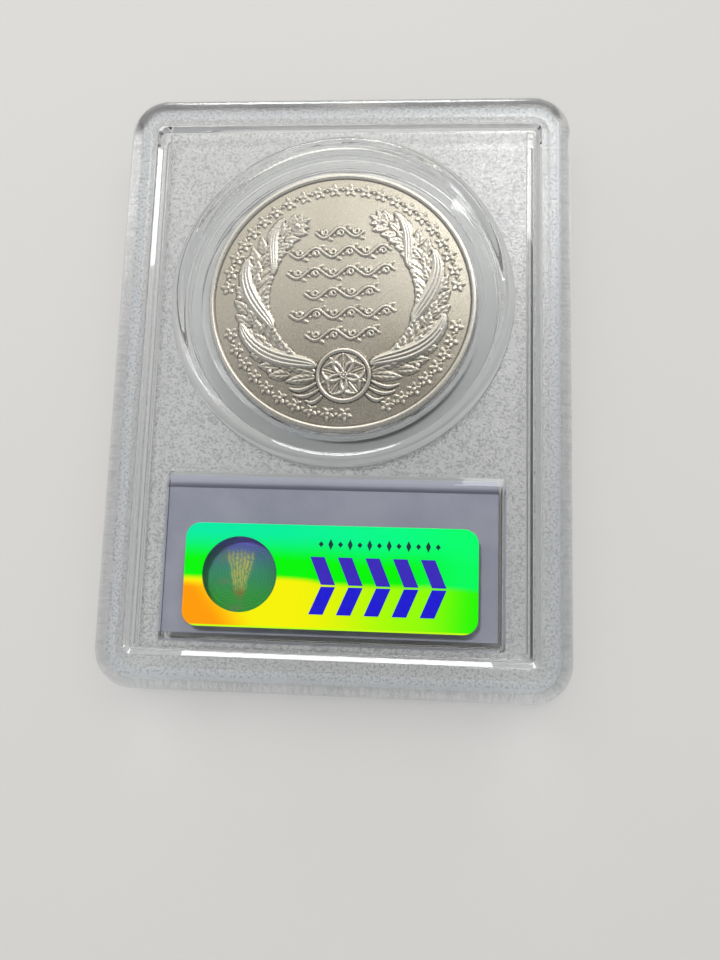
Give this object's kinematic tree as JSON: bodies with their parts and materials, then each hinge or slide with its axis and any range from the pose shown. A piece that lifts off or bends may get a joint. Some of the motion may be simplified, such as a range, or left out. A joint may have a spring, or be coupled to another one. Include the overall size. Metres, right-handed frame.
{
  "type": "graded coin slab",
  "caption": "Clear sealed flat case that holds a large coin in a round retainer ring above a label card, with a foil seal strip on its back.",
  "frame": {"origin": "middle of the plane that the front rails rest on", "axes": "+Z out of the back face, +Y towards the coin's end, +X to the right when the back is seen with the coin above the label"},
  "size_m": [0.064, 0.085, 0.007],
  "materials": {
    "rear_polystyrene": "clear moulded polystyrene, polished over the coin and the label, finely frosted on the rails and the panel",
    "front_polystyrene": "clear moulded polystyrene, polished over the coin and the label, finely frosted on the rails and the panel",
    "weld_polystyrene": "slightly cloudy remelted polystyrene",
    "ring_plastic": "clear polished plastic",
    "coin_silver": "satin struck silver with a reeded edge",
    "label_card": "smooth matt card, plain grey back",
    "foil_strip": "bright diffraction foil, green at the top to yellow at the bottom",
    "round_seal": "dark engraved foil with a fine line pattern"
  },
  "bodies": {
    "root": {"rear_shell": "rear_polystyrene", "front_shell": "front_polystyrene", "weld_seam": "weld_polystyrene", "coin_ring": "ring_plastic", "coin": "coin_silver", "label_card": "label_card", "foil_strip": "foil_strip", "round_seal": "round_seal"}
  },
  "joints": []
}
